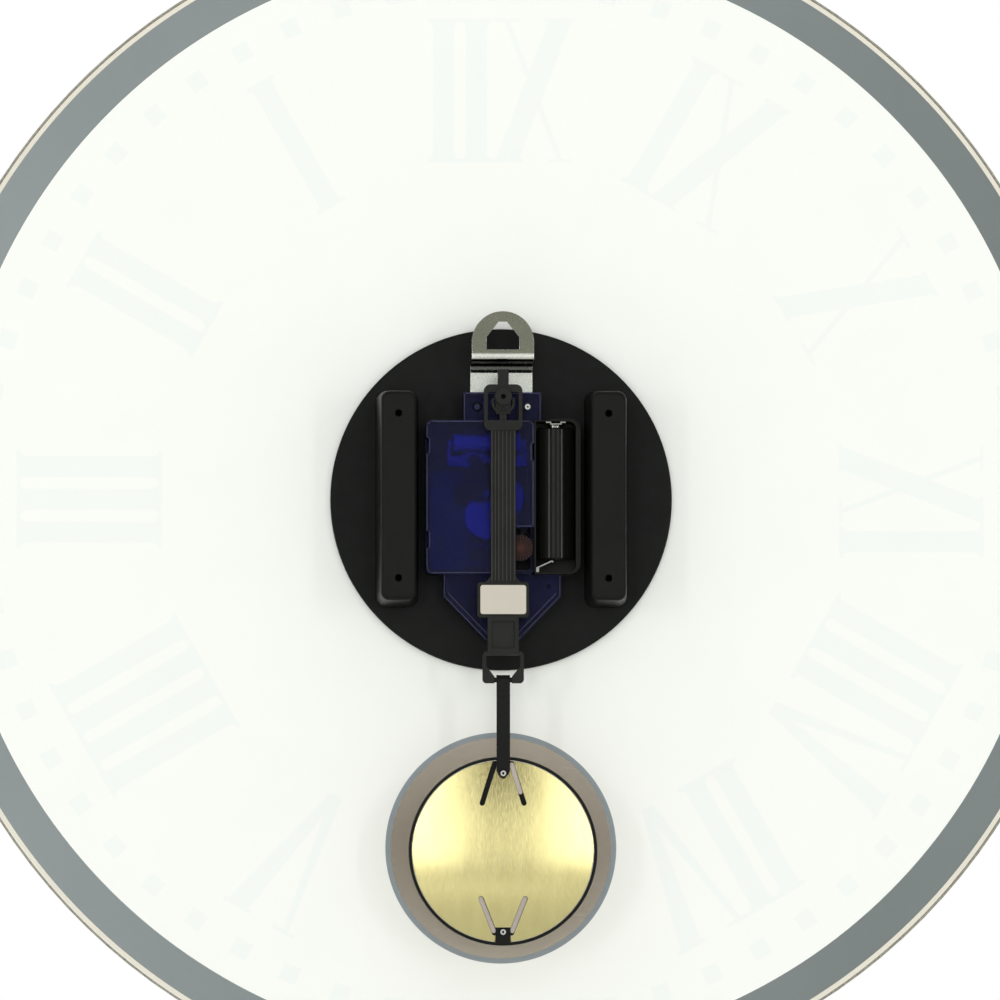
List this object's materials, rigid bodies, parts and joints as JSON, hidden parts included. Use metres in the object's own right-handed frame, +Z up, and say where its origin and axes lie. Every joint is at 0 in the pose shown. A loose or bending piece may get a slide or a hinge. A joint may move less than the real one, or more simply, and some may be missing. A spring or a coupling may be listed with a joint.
{
  "type": "pendulum wall clock",
  "caption": "Round glass wall clock with a quartz pendulum movement, swinging brass bob, wall hanger and stand-off bars.",
  "frame": {"origin": "top of the hanger hole where the wall hook bears, taken to the plane of the wall", "axes": "+Z up, +Y towards the wall, so the dial faces -Y; +X to the right seen from the front"},
  "size_m": [0.4349, 0.045, 0.435],
  "materials": {
    "dial_glass": "clear float glass with a ground, polished edge",
    "foam_tape": "dark closed-cell foam tape",
    "disc_black": "black moulded plastic, fine satin grain",
    "bar_black": "black moulded plastic, satin",
    "steel_screws": "zinc-plated steel",
    "hanger_steel": "nickel-plated sheet steel, brushed lengthways",
    "gasket_rubber": "matt black rubber",
    "case_black": "black moulded plastic",
    "cover_blue": "dark blue translucent moulded plastic",
    "brass_fittings": "turned brass",
    "hand_metal": "slate grey painted aluminium",
    "wheel_dark": "dark acetal",
    "wheel_white": "natural white acetal",
    "knob_brown": "dark red-brown moulded plastic",
    "magnet_dark": "plastic-bonded ferrite",
    "stator_steel": "soft iron sheet",
    "bobbin_white": "white nylon",
    "winding_copper": "enamelled copper wire under clear tape",
    "board_green": "green circuit board",
    "chip_black": "black epoxy",
    "contact_nickel": "nickel-plated spring steel",
    "battery_sleeve": "glossy dark shrink sleeve",
    "arm_plastic": "black ribbed plastic with a slight grain",
    "magnet_grey": "light grey coated ferrite block",
    "rod_black": "black lacquered steel strip",
    "bob_brass": "brushed brass sheet, clear lacquer"
  },
  "bodies": {
    "clock": {"dial_glass": "dial_glass", "foam_tape": "foam_tape", "back_plate": "disc_black", "spacer_left": "bar_black", "spacer_right": "bar_black", "spacer_screws": "steel_screws", "hanger": "hanger_steel", "gasket": "gasket_rubber", "movement_base": "case_black", "movement_cover": "cover_blue", "case_screws": "steel_screws", "threaded_bushing": "brass_fittings", "dial_washer": "brass_fittings", "mounting_nut": "brass_fittings", "motor_stator": "stator_steel", "motor_bobbin": "bobbin_white", "motor_winding": "winding_copper", "circuit_board": "board_green", "control_chip": "chip_black", "quartz_crystal": "contact_nickel", "contact_strips": "contact_nickel", "positive_contact": "contact_nickel", "negative_contact": "contact_nickel", "drive_coil_bobbin": "bobbin_white", "drive_coil_winding": "winding_copper", "pivot_post": "arm_plastic"},
    "minute": {"centre_arbor": "brass_fittings", "minute_hand": "hand_metal", "hand_cap": "brass_fittings"},
    "hour": {"hour_wheel": "wheel_dark", "hour_hand": "hand_metal"},
    "minute_gear": {"minute_wheel": "wheel_dark"},
    "knob": {"set_knob": "knob_brown"},
    "centre_gear": {"centre_wheel": "wheel_dark"},
    "third_gear": {"third_wheel": "wheel_white"},
    "second_gear": {"second_wheel": "wheel_white"},
    "intermediate_gear": {"intermediate_wheel": "wheel_dark"},
    "motor_rotor": {"rotor": "magnet_dark"},
    "pendulum": {"pendulum_arm": "arm_plastic", "drive_magnet": "magnet_grey"},
    "bob": {"pendulum_rod": "rod_black", "bob_core": "rod_black", "bob_face_rear": "bob_brass", "bob_face_front": "bob_brass", "bob_rivets": "contact_nickel"},
    "cell": {"battery": "battery_sleeve", "battery_cap": "contact_nickel"}
  },
  "joints": [
    {"name": "minute_turn", "type": "hinge", "parent": "clock", "child": "minute", "pos_m": [0, -0.02, -0.064], "axis": [0, 1, 0], "continuous": true},
    {"name": "hour_turn", "type": "hinge", "parent": "clock", "child": "hour", "pos_m": [0, -0.02, -0.064], "axis": [0, 1, 0], "continuous": true},
    {"name": "minute_gear_turn", "type": "hinge", "parent": "clock", "child": "minute_gear", "pos_m": [-0.00248, -0.02, -0.07327], "axis": [0, 1, 0], "continuous": true},
    {"name": "knob_turn", "type": "hinge", "parent": "clock", "child": "knob", "pos_m": [-0.00639, -0.02, -0.08248], "axis": [0, 1, 0], "continuous": true},
    {"name": "second_gear_turn", "type": "hinge", "parent": "clock", "child": "second_gear", "pos_m": [0, -0.02, -0.064], "axis": [0, 1, 0], "continuous": true},
    {"name": "centre_gear_turn", "type": "hinge", "parent": "clock", "child": "centre_gear", "pos_m": [0, -0.02, -0.064], "axis": [0, 1, 0], "continuous": true},
    {"name": "third_gear_turn", "type": "hinge", "parent": "clock", "child": "third_gear", "pos_m": [0.00579, -0.02, -0.07089], "axis": [0, 1, 0], "continuous": true},
    {"name": "intermediate_gear_turn", "type": "hinge", "parent": "clock", "child": "intermediate_gear", "pos_m": [0.00747, -0.02, -0.05837], "axis": [0, 1, 0], "continuous": true},
    {"name": "rotor_turn", "type": "hinge", "parent": "clock", "child": "motor_rotor", "pos_m": [0.00993, -0.02, -0.05033], "axis": [0, 1, 0], "continuous": true},
    {"name": "pendulum_swing", "type": "hinge", "parent": "clock", "child": "pendulum", "pos_m": [0, -0.0065, -0.0277], "axis": [0, 1, 0], "range_deg": [-7, 7]},
    {"name": "bob_tilt", "type": "hinge", "parent": "pendulum", "child": "bob", "pos_m": [0, -0.0065, -0.1308], "axis": [1, 0, 0], "range_deg": [-9, 2.5]},
    {"name": "cell_pull", "type": "slide", "parent": "clock", "child": "cell", "axis": [0, 1, 0], "range_m": [0, 0.03]}
  ],
  "couplings": [
    {"joint": "hour_turn", "follows": "minute_turn", "ratio": 0.083333},
    {"joint": "minute_gear_turn", "follows": "minute_turn", "ratio": -0.33333},
    {"joint": "knob_turn", "follows": "minute_turn", "ratio": 0.85714},
    {"joint": "third_gear_turn", "follows": "second_gear_turn", "ratio": -0.13333},
    {"joint": "centre_gear_turn", "follows": "second_gear_turn", "ratio": 0.016667},
    {"joint": "intermediate_gear_turn", "follows": "second_gear_turn", "ratio": -5},
    {"joint": "rotor_turn", "follows": "second_gear_turn", "ratio": 30}
  ]
}
